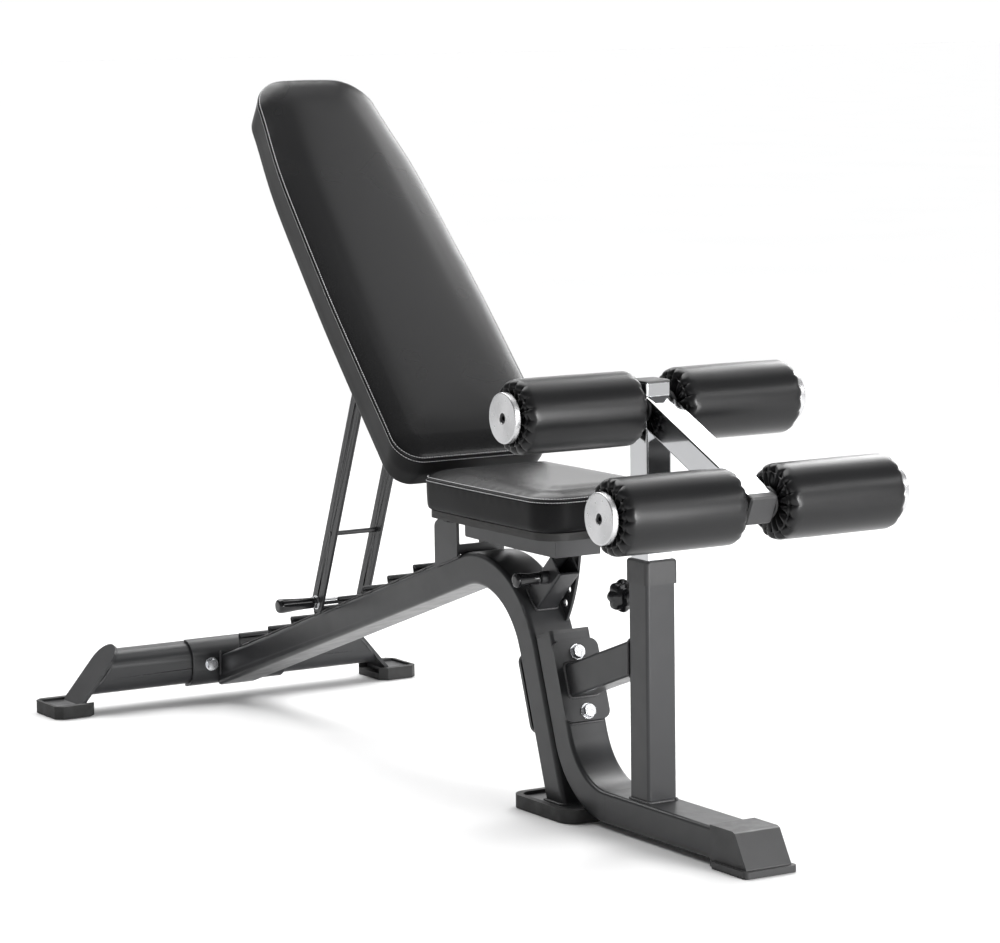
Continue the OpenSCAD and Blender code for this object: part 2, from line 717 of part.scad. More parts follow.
spine_tube();
ladder_rack();
hinge_bracket();
pin_stub();
stabilizer_tube();
saddle_plate();
saddle_bolts();
stabilizer_feet();
rear_pads();
leg_plate();
leg_pad();
leg_frame();
leg_frame_cap();
front_plate();
rear_plate();
attach_bolts();
brace_tube();
post_tube();
post_collar();
knob_nut();
foot_cap();
hinge_bolt();
back_pad();
back_board();
back_rails();
back_lugs();
rail_caps();
back_screws();
strut_bolt();
strut_bars();
mid_rod();
catch_rod();
grips();
grip_nuts();
seat_pad();
seat_board();
seat_frame();
seat_tongue();
sector_plate();
seat_screws();
seat_pin();
seat_pin_knob();
inner_post();
arm_tube();
post_cap();
arm_cap();
axles();
end_discs();
disc_bolts();
star_knob();
knob_stud();
foam_upper_right();
core_upper_right();
foam_upper_left();
core_upper_left();
foam_lower_right();
core_lower_right();
foam_lower_left();
core_lower_left();
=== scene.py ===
import json
import math
import random

import bmesh
import bpy
import numpy as np
from mathutils import Matrix, Vector


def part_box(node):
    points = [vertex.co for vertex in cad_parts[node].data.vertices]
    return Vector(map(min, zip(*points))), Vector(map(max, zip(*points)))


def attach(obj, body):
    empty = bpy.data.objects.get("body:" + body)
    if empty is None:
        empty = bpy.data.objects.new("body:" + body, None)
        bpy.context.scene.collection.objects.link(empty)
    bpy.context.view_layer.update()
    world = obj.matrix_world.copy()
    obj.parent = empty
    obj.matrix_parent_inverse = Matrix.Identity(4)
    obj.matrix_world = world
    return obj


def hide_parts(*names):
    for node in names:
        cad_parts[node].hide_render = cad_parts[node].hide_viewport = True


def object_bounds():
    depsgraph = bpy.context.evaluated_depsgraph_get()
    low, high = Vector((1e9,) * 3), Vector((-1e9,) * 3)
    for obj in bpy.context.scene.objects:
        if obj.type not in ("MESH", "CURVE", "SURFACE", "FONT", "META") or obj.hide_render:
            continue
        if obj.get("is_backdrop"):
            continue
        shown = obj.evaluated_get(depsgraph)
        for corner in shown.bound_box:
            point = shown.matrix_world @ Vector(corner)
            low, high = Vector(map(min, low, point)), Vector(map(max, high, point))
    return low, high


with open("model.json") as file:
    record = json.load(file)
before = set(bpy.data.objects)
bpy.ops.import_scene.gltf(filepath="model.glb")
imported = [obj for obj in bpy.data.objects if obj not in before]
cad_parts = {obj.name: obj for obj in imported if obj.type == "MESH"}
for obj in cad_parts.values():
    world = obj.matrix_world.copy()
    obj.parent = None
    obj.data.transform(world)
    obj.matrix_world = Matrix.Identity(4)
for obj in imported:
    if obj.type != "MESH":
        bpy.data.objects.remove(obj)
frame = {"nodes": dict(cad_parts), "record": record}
bpy.context.view_layer.update()
record = frame["record"]
bpy.context.scene.view_settings.view_transform = "Standard"

# ---------------------------------------------------------------- frame data
post_lo, post_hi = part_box("post_tube")
POST_X = (post_lo.x + post_hi.x) / 2      # post axis, metres
MM = 0.001


def P(x, y, z):
    """Bench millimetres (post axis at x = 0) to the row frame in metres."""
    return Vector((POST_X + x * MM, y * MM, z * MM))


# ---------------------------------------------------------------- materials
def shader(name):
    m = bpy.data.materials.new(name)
    m.use_nodes = True
    nt = m.node_tree
    bsdf = nt.nodes["Principled BSDF"]
    coord = nt.nodes.new("ShaderNodeTexCoord")
    return m, nt, bsdf, coord.outputs["Object"]


def noise(nt, vec, scale, detail=3.0, rough=0.5):
    n = nt.nodes.new("ShaderNodeTexNoise")
    n.inputs["Scale"].default_value = scale
    n.inputs["Detail"].default_value = detail
    n.inputs["Roughness"].default_value = rough
    nt.links.new(vec, n.inputs["Vector"])
    return n.outputs["Fac"]


def remap(nt, value, lo, hi, a=0.3, b=0.7):
    n = nt.nodes.new("ShaderNodeMapRange")
    n.inputs["From Min"].default_value = a
    n.inputs["From Max"].default_value = b
    n.inputs["To Min"].default_value = lo
    n.inputs["To Max"].default_value = hi
    nt.links.new(value, n.inputs["Value"])
    return n.outputs["Result"]


def mix_color(nt, fac, c1, c2):
    n = nt.nodes.new("ShaderNodeMix")
    n.data_type = "RGBA"
    n.inputs["A"].default_value = (*c1, 1)
    n.inputs["B"].default_value = (*c2, 1)
    nt.links.new(fac, n.inputs["Factor"])
    return n.outputs["Result"]


def bump(nt, height, strength, distance, normal=None):
    n = nt.nodes.new("ShaderNodeBump")
    n.inputs["Strength"].default_value = strength
    n.inputs["Distance"].default_value = distance
    nt.links.new(height, n.inputs["Height"])
    if normal is not None:
        nt.links.new(normal, n.inputs["Normal"])
    return n.outputs["Normal"]


def pebbles(nt, vec, scale, rand=1.0):
    n = nt.nodes.new("ShaderNodeTexVoronoi")
    n.feature = "SMOOTH_F1"
    n.inputs["Scale"].default_value = scale
    n.inputs["Randomness"].default_value = rand
    n.inputs["Smoothness"].default_value = 0.35
    nt.links.new(vec, n.inputs["Vector"])
    return n.outputs["Distance"]


def wear(nt, base, c_edge, lo=0.53, hi=0.60):
    """Lightens convex edges a little, where the coat is rubbed."""
    g = nt.nodes.new("ShaderNodeNewGeometry")
    f = remap(nt, g.outputs["Pointiness"], 0.0, 0.45, lo, hi)
    n = nt.nodes.new("ShaderNodeMix")
    n.data_type = "RGBA"
    n.inputs["B"].default_value = (*c_edge, 1)
    nt.links.new(base, n.inputs["A"])
    nt.links.new(f, n.inputs["Factor"])
    return n.outputs["Result"]


def painted():
    m, nt, b, v = shader("powder_coat")
    col = mix_color(nt, noise(nt, v, 9, 4), (0.022, 0.0224, 0.024), (0.029, 0.0295, 0.031))
    nt.links.new(wear(nt, col, (0.10, 0.10, 0.105)), b.inputs["Base Color"])
    nt.links.new(remap(nt, noise(nt, v, 35, 4), 0.29, 0.37), b.inputs["Roughness"])
    fine = bump(nt, noise(nt, v, 1400, 2), 0.10, 0.00025)
    nt.links.new(bump(nt, noise(nt, v, 260, 2), 0.05, 0.0006, fine), b.inputs["Normal"])
    b.inputs["Specular IOR Level"].default_value = 0.40
    return m


def weld_paint():
    m, nt, b, v = shader("weld_paint")
    col = mix_color(nt, noise(nt, v, 300, 3), (0.040, 0.040, 0.042), (0.066, 0.066, 0.068))
    nt.links.new(col, b.inputs["Base Color"])
    nt.links.new(remap(nt, noise(nt, v, 500, 3), 0.34, 0.5), b.inputs["Roughness"])
    nt.links.new(bump(nt, noise(nt, v, 900, 3), 0.35, 0.0004), b.inputs["Normal"])
    return m


def metal(name, c1, c2, r1, r2, smudge=14.0, grain=None, strength=0.04):
    m, nt, b, v = shader(name)
    nt.links.new(mix_color(nt, noise(nt, v, smudge, 3), c1, c2), b.inputs["Base Color"])
    b.inputs["Metallic"].default_value = 1.0
    nt.links.new(remap(nt, noise(nt, v, smudge * 3, 5, 0.6), r1, r2), b.inputs["Roughness"])
    if grain:
        nt.links.new(bump(nt, noise(nt, v, grain, 2), strength, 0.0002), b.inputs["Normal"])
    return m


def turned():
    """Aluminium faced on a lathe: fine rings round the piece's own Y axis."""
    m, nt, b, v = shader("turned_aluminium")
    nt.links.new(mix_color(nt, noise(nt, v, 60, 3), (0.52, 0.52, 0.53), (0.60, 0.60, 0.605)),
                 b.inputs["Base Color"])
    b.inputs["Metallic"].default_value = 1.0
    b.inputs["Anisotropic"].default_value = 0.85
    tangent = nt.nodes.new("ShaderNodeTangent")
    tangent.direction_type = "RADIAL"
    tangent.axis = "Y"
    nt.links.new(tangent.outputs["Tangent"], b.inputs["Tangent"])
    nt.links.new(remap(nt, noise(nt, v, 90, 3), 0.25, 0.28), b.inputs["Roughness"])
    sep = nt.nodes.new("ShaderNodeSeparateXYZ")
    nt.links.new(v, sep.inputs["Vector"])
    flat = nt.nodes.new("ShaderNodeCombineXYZ")
    nt.links.new(sep.outputs["X"], flat.inputs["X"])
    nt.links.new(sep.outputs["Z"], flat.inputs["Z"])
    length = nt.nodes.new("ShaderNodeVectorMath")
    length.operation = "LENGTH"
    nt.links.new(flat.outputs["Vector"], length.inputs[0])
    rings = nt.nodes.new("ShaderNodeCombineXYZ")
    nt.links.new(length.outputs["Value"], rings.inputs["X"])
    nt.links.new(bump(nt, noise(nt, rings.outputs["Vector"], 900, 2), 0.05, 0.0002),
                 b.inputs["Normal"])
    return m


def vinyl(name, c1, c2, r1, r2, cell, depth, wrinkle, shine=0.28):
    m, nt, b, v = shader(name)
    cells = pebbles(nt, v, cell)
    col = mix_color(nt, remap(nt, cells, 0.0, 1.0, 0.1, 0.75), c2, c1)
    nt.links.new(col, b.inputs["Base Color"])
    nt.links.new(remap(nt, noise(nt, v, 9, 2), r1, r2), b.inputs["Roughness"])
    soft = bump(nt, noise(nt, v, 70, 3), wrinkle, 0.0008)
    fine = bump(nt, noise(nt, v, cell * 1.9, 2), 0.15, depth * 0.5, soft)
    nt.links.new(bump(nt, cells, 0.30, depth, fine), b.inputs["Normal"])
    b.inputs["Specular IOR Level"].default_value = shine
    b.inputs["Sheen Weight"].default_value = 0.005
    b.inputs["Sheen Roughness"].default_value = 0.4
    return m


def plastic(name, c1, c2, r1, r2, grain, strength):
    m, nt, b, v = shader(name)
    nt.links.new(mix_color(nt, noise(nt, v, 30, 3), c1, c2), b.inputs["Base Color"])
    nt.links.new(remap(nt, noise(nt, v, 55, 4), r1, r2), b.inputs["Roughness"])
    nt.links.new(bump(nt, noise(nt, v, grain, 2), strength, 0.0003), b.inputs["Normal"])
    return m


def thread_mat():
    m, nt, b, v = shader("thread")
    nt.links.new(mix_color(nt, noise(nt, v, 900, 2), (0.55, 0.55, 0.56), (0.80, 0.80, 0.81)),
                 b.inputs["Base Color"])
    b.inputs["Roughness"].default_value = 0.75
    nt.links.new(bump(nt, noise(nt, v, 2600, 2), 0.5, 0.0002), b.inputs["Normal"])
    return m


def board_mat():
    m, nt, b, v = shader("painted_board")
    stretch = nt.nodes.new("ShaderNodeMapping")
    stretch.inputs["Scale"].default_value = (1, 9, 9)
    nt.links.new(v, stretch.inputs["Vector"])
    grain = noise(nt, stretch.outputs["Vector"], 55, 6, 0.6)
    nt.links.new(mix_color(nt, grain, (0.010, 0.010, 0.010), (0.026, 0.025, 0.024)),
                 b.inputs["Base Color"])
    nt.links.new(remap(nt, grain, 0.5, 0.68), b.inputs["Roughness"])
    nt.links.new(bump(nt, grain, 0.25, 0.0004), b.inputs["Normal"])
    return m


MAT = {
    "frame_paint": painted(),
    "chrome": metal("chrome_plate", (0.48, 0.485, 0.495), (0.54, 0.545, 0.555), 0.06, 0.12),
    "disc_alloy": turned(),
    "black_oxide": metal("black_oxide", (0.020, 0.020, 0.021), (0.045, 0.045, 0.047),
                         0.30, 0.45, 60.0, 900.0),
    "zinc": metal("zinc_plate", (0.66, 0.67, 0.69), (0.80, 0.81, 0.83), 0.16, 0.30, 60.0, 900.0),
    "black_plastic": plastic("moulded_plastic", (0.022, 0.022, 0.023), (0.032, 0.032, 0.033),
                             0.42, 0.54, 1100.0, 0.22),
    "gloss_black": plastic("gloss_plastic", (0.008, 0.008, 0.009), (0.013, 0.013, 0.014),
                           0.10, 0.19, 90.0, 0.03),
    "rubber": plastic("rubber", (0.013, 0.013, 0.013), (0.024, 0.024, 0.024),
                      0.60, 0.78, 700.0, 0.35),
    "pad_vinyl": vinyl("pad_vinyl", (0.009, 0.009, 0.0095), (0.005, 0.005, 0.0055),
                       0.25, 0.28, 780.0, 0.00018, 0.03),
    # painted shade: the same vinyl as the top, given a touch darker colour and less gloss to stand in
    # for the shade on the pad's side band
    "pad_side_painted_shade": vinyl("pad_side_vinyl_painted_shade", (0.008, 0.008, 0.0085), (0.005, 0.005, 0.0055),
                      0.40, 0.46, 780.0, 0.00018, 0.03, 0.11),
    "pad_board": board_mat(),
    "roller_vinyl": vinyl("roller_vinyl", (0.010, 0.010, 0.0105), (0.005, 0.005, 0.0055),
                          0.28, 0.32, 1000.0, 0.00016, 0.03),
    "stitching": thread_mat(),
}
WELD = weld_paint()


# ---------------------------------------------------------------- CAD nodes
def smooth_group():
    g = bpy.data.node_groups.new("shade_smooth", "GeometryNodeTree")
    g.interface.new_socket("Geometry", in_out="INPUT", socket_type="NodeSocketGeometry")
    g.interface.new_socket("Geometry", in_out="OUTPUT", socket_type="NodeSocketGeometry")
    gi, go = g.nodes.new("NodeGroupInput"), g.nodes.new("NodeGroupOutput")
    ss = g.nodes.new("GeometryNodeSetShadeSmooth")
    g.links.new(gi.outputs[0], ss.inputs["Geometry"])
    g.links.new(ss.outputs["Geometry"], go.inputs[0])
    return g


SMOOTH = smooth_group()
EDGE = {
    "foot_cap": 1.6, "post_collar": 1.0, "leg_frame_cap": 1.0, "post_cap": 0.8, "arm_cap": 0.9,
    "rear_pads": 2.0, "leg_pad": 2.2, "leg_plate": 0.9, "strut_bars": 1.0, "ladder_rack": 0.7,
    "attach_bolts": 0.4, "saddle_bolts": 0.4, "hinge_bolt": 0.4, "strut_bolt": 0.4,
    "grip_nuts": 0.4, "back_screws": 0.3, "seat_screws": 0.3, "disc_bolts": 0.3,
    "front_plate": 0.9, "rear_plate": 0.9, "hinge_bracket": 0.9, "sector_plate": 0.8,
    "back_board": 2.0, "seat_board": 2.0, "rail_caps": 0.7,
}


def soften(node, width):
    o = frame["nodes"][node]
    w = o.modifiers.new("weld", "WELD")
    w.merge_threshold = 0.00001
    b = o.modifiers.new("edge", "BEVEL")
    b.width = width * MM
    b.segments = 2
    b.limit_method = "ANGLE"
    b.angle_limit = math.radians(32)
    b.use_clamp_overlap = True
    b.miter_outer = "MITER_ARC"
    s = o.modifiers.new("smooth", "NODES")
    s.node_group = SMOOTH
    n = o.modifiers.new("normals", "WEIGHTED_NORMAL")
    n.keep_sharp = True
    n.weight = 60


for part in record["subparts"]:
    obj = frame["nodes"][part["node"]]
    for slot in obj.material_slots:
        slot.material = MAT[part["material_slot"]]
    if part["material_slot"] not in ("pad_vinyl", "roller_vinyl"):
        soften(part["node"], EDGE.get(part["node"], 0.7))


# ---------------------------------------------------------------- mesh tools
def make(name, verts, faces, mat, body, smooth=True, origin=None, fix=True):
    me = bpy.data.meshes.new(name)
    off = origin or Vector((0, 0, 0))
    me.from_pydata([tuple(Vector(v) - off) for v in verts], [], faces)
    if fix:
        bm = bmesh.new()
        bm.from_mesh(me)
        bmesh.ops.recalc_face_normals(bm, faces=bm.faces)
        bm.to_mesh(me)
        bm.free()
    for p in me.polygons:
        p.use_smooth = smooth
    me.materials.append(mat)
    o = bpy.data.objects.new(name, me)
    o.location = off
    bpy.context.scene.collection.objects.link(o)
    if body:
        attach(o, body)
    return o


def grid_faces(rows, cols, closed_rows=False, start=0):
    faces = []
    for r in range(rows if closed_rows else rows - 1):
        a, b = start + r * cols, start + ((r + 1) % rows) * cols
        for c in range(cols):
            d = (c + 1) % cols
            faces.append((a + c, a + d, b + d, b + c))
    return faces


def lathe(profile, n, frame_fn, lobes=None):
    """profile: (axial, radius) pairs in mm; frame_fn maps (axial, u, v) to the row frame."""
    verts = []
    for k, (ax, r) in enumerate(profile):
        for i in range(n):
            t = 2 * math.pi * i / n
            a, q = (ax, r) if lobes is None else lobes(ax, r, t, k)
            verts.append(frame_fn(a, q * math.cos(t), q * math.sin(t)))
    faces = grid_faces(len(profile), n)
    for k, row in ((0, 0), (1, (len(profile) - 1) * n)):
        if profile[0 if k == 0 else -1][1] > 0.01:
            faces.append(tuple(range(row, row + n)))
    return verts, faces


def weld_bead(name, paths, r, body, pitch=3.4, seed=1, mat=None):
    """Rippled beads along open or closed paths of row-frame points."""
    rnd = random.Random(seed)
    verts, faces = [], []
    for pts in paths:
        pts = [Vector(p) for p in pts]
        seg = [(pts[i + 1] - pts[i]).length for i in range(len(pts) - 1)]
        total = sum(seg)
        n = max(4, int(total / (0.85 * MM)))
        ring, start = 8, len(verts)
        phase = rnd.random() * 6
        for k in range(n + 1):
            s, i = total * k / n, 0
            while i < len(seg) - 1 and s > seg[i]:
                s -= seg[i]
                i += 1
            c = pts[i].lerp(pts[i + 1], min(1.0, s / max(seg[i], 1e-9)))
            t = (pts[i + 1] - pts[i]).normalized()
            up = Vector((0, 0, 1)) if abs(t.z) < 0.8 else Vector((1, 0, 0))
            u = t.cross(up).normalized()
            w = t.cross(u)
            end = min(1.0, 1.15 * math.sqrt(min(k, n - k) / 5.0)) if min(k, n - k) < 5 else 1.0
            ripple = abs(math.sin(math.pi * (total * k / n) / (pitch * MM) + phase))
            rr = r * MM * end * (0.82 + 0.26 * ripple) * (1 + 0.08 * (rnd.random() - 0.5))
            rr = max(rr, 0.00005)
            for q in range(ring):
                a = 2 * math.pi * q / ring
                verts.append(c + u * rr * math.cos(a) + w * rr * math.sin(a))
        faces += grid_faces(n + 1, ring, start=start)
        faces.append(tuple(range(start, start + ring)))
        faces.append(tuple(range(start + n * ring, start + (n + 1) * ring)))
    return make(name, verts, faces, mat or WELD, body)


def rect_path(c, u, v, hu, hv, r=4.0, n=4):
    """Closed rounded rectangle round c, in the plane of unit vectors u and v; mm sizes."""
    pts = []
    for q, (su, sv) in enumerate([(1, 1), (-1, 1), (-1, -1), (1, -1)]):
        cc = c + u * su * (hu - r) * MM + v * sv * (hv - r) * MM
        for k in range(n + 1):
            a = math.pi / 2 * (q + k / n)
            pts.append(cc + u * math.cos(a) * r * MM + v * math.sin(a) * r * MM)
    return pts + [pts[0]]


# ---------------------------------------------------------------- pads
SEAM_STEPS = [0.7, 1.4, 2.2, 3.1, 4.1, 5.4, 7.2, 9.6, 12.8]   # rings each side of the seam, mm
SMOOTH_PASSES = 26
CLOTH_FRAMES = 20


class Pad:
    """A crowned box cushion: rings from the middle of its back, round to its front."""

    def __init__(self, name, circles, medial, profile, to_world, tweak):
        self.name, self.circles, self.medial = name, circles, medial
        self.to_world, self.tweak = to_world, tweak
        self.profile(profile)
        self.mesh()

    def outline(self, d):
        """Points of the outline inset by d, from the lower end round; radii shrink with d."""
        (c0, r0), (c1, r1) = self.circles
        length, dy = c1[0] - c0[0], c1[1] - c0[1]
        q0, q1 = max(r0 - d, 0.5), max(r1 - d, 0.5)
        phi = math.atan2(dy, length) + math.acos((q0 - q1) / math.hypot(length, dy))
        half = []
        for k in range(self.n_low + 1):      # middle of the lower end to its corner
            half.append((c0[0] - q0, c0[1] * k / self.n_low))
        for k in range(1, self.n_arc + 1):
            a = math.pi + (phi - math.pi) * k / self.n_arc
            half.append((c0[0] + q0 * math.cos(a), c0[1] + q0 * math.sin(a)))
        x0, y0 = half[-1]
        x1, y1 = c1[0] + q1 * math.cos(phi), c1[1] + q1 * math.sin(phi)
        for k in range(1, self.n_side + 1):
            f = k / self.n_side
            half.append((x0 + (x1 - x0) * f, y0 + (y1 - y0) * f))
        for k in range(1, self.n_arc + 1):
            a = phi * (1 - k / self.n_arc)
            half.append((c1[0] + q1 * math.cos(a), c1[1] + q1 * math.sin(a)))
        for k in range(1, self.n_low + 1):
            half.append((c1[0] + q1, c1[1] * (1 - k / self.n_low)))
        return half + [(x, -y) for x, y in half[-2:0:-1]]

    def profile(self, raw):
        """raw: (inset, height) points in mm; the seam is at height 0. Adds fine rings by it."""
        pts = [np.array(p, float) for p in raw]
        dense = []
        for i in range(len(pts) - 1):
            p0 = pts[max(i - 1, 0)]
            p1, p2, p3 = pts[i], pts[i + 1], pts[min(i + 2, len(pts) - 1)]
            for k in range(24):
                t = k / 24
                dense.append(0.5 * ((2 * p1) + (p2 - p0) * t
                                    + (2 * p0 - 5 * p1 + 4 * p2 - p3) * t ** 2
                                    + (3 * p1 - p0 - 3 * p2 + p3) * t ** 3))
        dense.append(pts[-1])
        dense = np.array(dense)
        arc = np.concatenate([[0], np.cumsum(np.linalg.norm(np.diff(dense, axis=0), axis=1))])
        seam = float(np.interp(0.0, dense[:, 1], arc))
        near = sorted([seam + s for s in SEAM_STEPS] + [seam - s for s in SEAM_STEPS] + [seam])
        before = np.linspace(0, near[0], max(2, int(near[0] / 5.0)) + 1)[:-1]
        after = np.linspace(near[-1], arc[-1], max(2, int((arc[-1] - near[-1]) / 4.5)) + 1)[1:]
        at = np.concatenate([before, near, after])
        self.rings = [(float(np.interp(a, arc, dense[:, 0])), float(np.interp(a, arc, dense[:, 1])))
                      for a in at]
        self.from_seam = at - seam

    n_low, n_arc, n_side = 12, 14, 60

    def mesh(self):
        rings = []
        mx0, mx1 = self.medial
        inner = 12                           # rings across the flat back
        start = self.rings[0]
        base = np.array(self.outline(start[0]))
        core = np.array([(min(max(x, mx0), mx1), 0.0) for x, _ in base])
        for k in range(inner):               # flat back, from the middle line outwards
            t = (k + 1) / (inner + 1)
            rings.append((core + (base - core) * t, start[1], -999.0))
        for (d, z), a in zip(self.rings, self.from_seam):
            rings.append((np.array(self.outline(d)), z, a))
        end = self.rings[-1]
        base = np.array(self.outline(end[0]))
        core = np.array([(min(max(x, mx0), mx1), 0.0) for x, _ in base])
        for k in range(inner + 10, 0, -1):
            t = k / (inner + 11)
            z = end[1] + self.dome * (1 - t * t)
            rings.append((core + (base - core) * t, z, 999.0))
        self.N = len(rings[0][0])
        self.arc_of = [r[2] for r in rings]
        co = []
        for pts, z, _ in rings:
            for x, y in pts:
                co.append(self.tweak(x, y, z))
        faces = grid_faces(len(rings), self.N)
        self.rows = len(rings)
        h = self.N // 2
        for row in (0, self.rows - 1):       # fills the two middle lines
            s = row * self.N
            faces.append((s, s + 1, s + self.N - 1))
            faces.append((s + h, s + h - 1, s + h + 1))
            for i in range(1, h - 1):
                faces.append((s + i, s + i + 1, s + self.N - i - 1, s + self.N - i))
        self.obj = make(self.name, [self.to_world(*c) for c in co], faces,
                        MAT["pad_vinyl"], None)
        me = self.obj.data
        me.materials.append(MAT["pad_side_painted_shade"])     # the box band and the back: painted shade, a slightly darker and less glossy copy of the top's vinyl standing in for the shade on the band
        for p in me.polygons:
            if self.arc_of[min(p.vertices) // self.N] < -0.6:
                p.material_index = 1

    dome = 2.0

    def cloth(self, pressure, hold):
        o = self.obj
        g = o.vertex_groups.new(name="held")
        for r in range(self.rows):
            a = self.arc_of[r]
            w = hold(a)
            if w > 0:
                g.add(list(range(r * self.N, (r + 1) * self.N)), w, "REPLACE")
        m = o.modifiers.new("cloth", "CLOTH")
        s = m.settings
        s.quality = 6
        s.mass = 0.25
        s.tension_stiffness = s.compression_stiffness = 18
        s.shear_stiffness = 8
        s.bending_stiffness = 0.6
        s.use_pressure = True
        s.uniform_pressure_force = pressure
        s.vertex_group_mass = "held"
        s.effector_weights.gravity = 0.0
        m.collision_settings.use_collision = False
        m.point_cache.frame_start, m.point_cache.frame_end = 1, CLOTH_FRAMES

    def settle(self, cap):
        """Keeps the simulated shape, with each point's move limited to cap mm."""
        o = self.obj
        n = len(o.data.vertices)
        rest = np.empty(n * 3)
        o.data.vertices.foreach_get("co", rest)
        dg = bpy.context.evaluated_depsgraph_get()
        em = o.evaluated_get(dg).to_mesh()
        new = np.empty(n * 3)
        em.vertices.foreach_get("co", new)
        o.evaluated_get(dg).to_mesh_clear()
        d = (new - rest).reshape(self.rows, self.N, 3)
        for _ in range(SMOOTH_PASSES):       # evens out the simulated pull over the skin
            d = 0.5 * d + 0.25 * (np.roll(d, 1, axis=1) + np.roll(d, -1, axis=1))
            inside = 0.5 * d[1:-1] + 0.25 * (d[:-2] + d[2:])
            d[1:-1] = inside
        d = d.reshape(-1, 3)
        size = np.linalg.norm(d, axis=1, keepdims=True)
        cap *= MM
        d *= np.where(size > 1e-9, cap * np.tanh(size / cap) / np.maximum(size, 1e-9), 1)
        o.modifiers.remove(o.modifiers["cloth"])
        o.data.vertices.foreach_set("co", (rest.reshape(-1, 3) + d).ravel())
        o.data.update()

    def normals(self):
        n = len(self.obj.data.vertices)
        nor = np.empty(n * 3)
        self.obj.data.vertices.foreach_get("normal", nor)
        co = np.empty(n * 3)
        self.obj.data.vertices.foreach_get("co", co)
        return co.reshape(-1, 3), nor.reshape(-1, 3)

    def sew(self, depth, seed):
        """Presses the seam's fold and its two thread rows in, with slight puckers by them."""
        co, nor = self.normals()
        rnd = random.Random(seed)
        waves = [(rnd.uniform(22, 60), rnd.uniform(0, 6.28), rnd.uniform(0.3, 1.0))
                 for _ in range(7)]
        total = sum(w[2] for w in waves)
        for r in range(self.rows):
            a = self.arc_of[r]
            if abs(a) > 40:
                continue
            d = -depth * math.exp(-(a / 0.95) ** 2)
            d += 0.30 * math.exp(-((abs(a) - 1.9) / 1.0) ** 2)
            d -= 0.35 * math.exp(-((abs(a) - 4.2) / 1.3) ** 2)
            for i in range(self.N):
                t = 2 * math.pi * i / self.N
                shift = 1.1 if a > 0 else 0
                p = sum(w * math.sin(round(f) * t + ph + shift) for f, ph, w in waves)
                pucker = 0.16 * p / total * 2.0 * math.exp(-((abs(a) - 8) / 6.0) ** 2)
                co[r * self.N + i] += nor[r * self.N + i] * (d + pucker) * MM
        self.obj.data.vertices.foreach_set("co", co.ravel())
        self.obj.data.update()

    def row(self, offset):
        """Points and normals along the seam, offset mm from it, on the finished mesh."""
        co, nor = self.normals()
        a = np.array(self.arc_of)
        hi = int(np.searchsorted(a, offset))
        lo = hi - 1
        f = (offset - a[lo]) / (a[hi] - a[lo])
        p = co[lo * self.N:(lo + 1) * self.N] * (1 - f) + co[hi * self.N:(hi + 1) * self.N] * f
        q = nor[lo * self.N:(lo + 1) * self.N] * (1 - f) + nor[hi * self.N:(hi + 1) * self.N] * f
        return p, q


def stitch_rows(name, rows, body, pitch=4.4, length=3.3, radius=0.66, seed=3):
    """Short raised threads along closed rows of points and normals."""
    rnd = random.Random(seed)
    verts, faces = [], []
    for pts, nor in rows:
        n = len(pts)
        seg = np.linalg.norm(np.roll(pts, -1, axis=0) - pts, axis=1)
        cum = np.concatenate([[0], np.cumsum(seg)])
        count = int(cum[-1] / (pitch * MM))
        step = cum[-1] / count

        def at(s):
            s = s % cum[-1]
            i = min(int(np.searchsorted(cum, s, side="right")) - 1, n - 1)
            f = (s - cum[i]) / max(seg[i], 1e-9)
            j = (i + 1) % n
            return Vector(pts[i] * (1 - f) + pts[j] * f), Vector(nor[i] * (1 - f) + nor[j] * f)

        for k in range(count):
            s = k * step + rnd.uniform(-0.15, 0.15) * MM
            a, b = at(s)[0], at(s + length * MM)[0]
            nn = at(s + length * MM / 2)[1].normalized()
            t = (b - a).normalized()
            w = nn.cross(t).normalized()
            start = len(verts)
            for f, q, sink in ((0.0, 0.45, -0.32), (0.18, 0.95, 0.02), (0.5, 1.0, 0.12),
                               (0.82, 0.95, 0.02), (1.0, 0.45, -0.32)):
                c = a.lerp(b, f) + nn * (sink + 0.12) * MM
                for m in range(6):
                    ang = math.pi * 2 * m / 6
                    round_it = w * math.cos(ang) + nn * math.sin(ang) * 0.85
                    verts.append(c + round_it * q * radius * MM)
            faces += grid_faces(5, 6, start=start)
            faces.append(tuple(range(start, start + 6)))
            faces.append(tuple(range(start + 24, start + 30)))
    return make(name, verts, faces, MAT["stitching"], body, fix=False)


def subdivide(o):
    m = o.modifiers.new("fine", "SUBSURF")
    m.levels = m.render_levels = 1


# back pad, in its own axes: s along it from the seam plane's origin, y across, z out of its face
BACK_ANGLE = math.radians(46)
SEAM_X, SEAM_Z = -410.0, 440.0
S0, LEN = 95.0, 812.0                        # start of the seam's outline, and its length
W0, W1, BOX = 286.0, 216.0, 65.0             # width at the lower end, at the top, and box depth
R0, R1 = 46, 60                              # corner radii at the lower end and at the top
ARCH, ARCH_LEN = 7.0, 130                    # how far the top's corners drop, and over what length
LIFT_BOX, LIFT_CROWN = 9.0, 12.0             # how far the lower end draws up, and its crown more
# (s, width factor): the sides bow out past the straight line between the ends
BOW = [(95, 1.0), (141, 1.002), (285, 1.048), (430, 1.092), (540, 1.103), (655, 1.112),
       (700, 1.107), (745, 1.084), (800, 1.034), (845, 1.002), (910, 1.0)]
bow_s = np.arange(40.0, 980.0, 4.0)
bow_y = np.interp(bow_s, [s for s, _ in BOW], [f for _, f in BOW])
for _ in range(3):
    bow_y = np.convolve(np.pad(bow_y, 5, mode="edge"), np.ones(11) / 11, mode="valid")


def back_world(s, y, z):
    return P(SEAM_X - s * math.cos(BACK_ANGLE) + z * math.sin(BACK_ANGLE), y,
             SEAM_Z + s * math.sin(BACK_ANGLE) + z * math.cos(BACK_ANGLE))


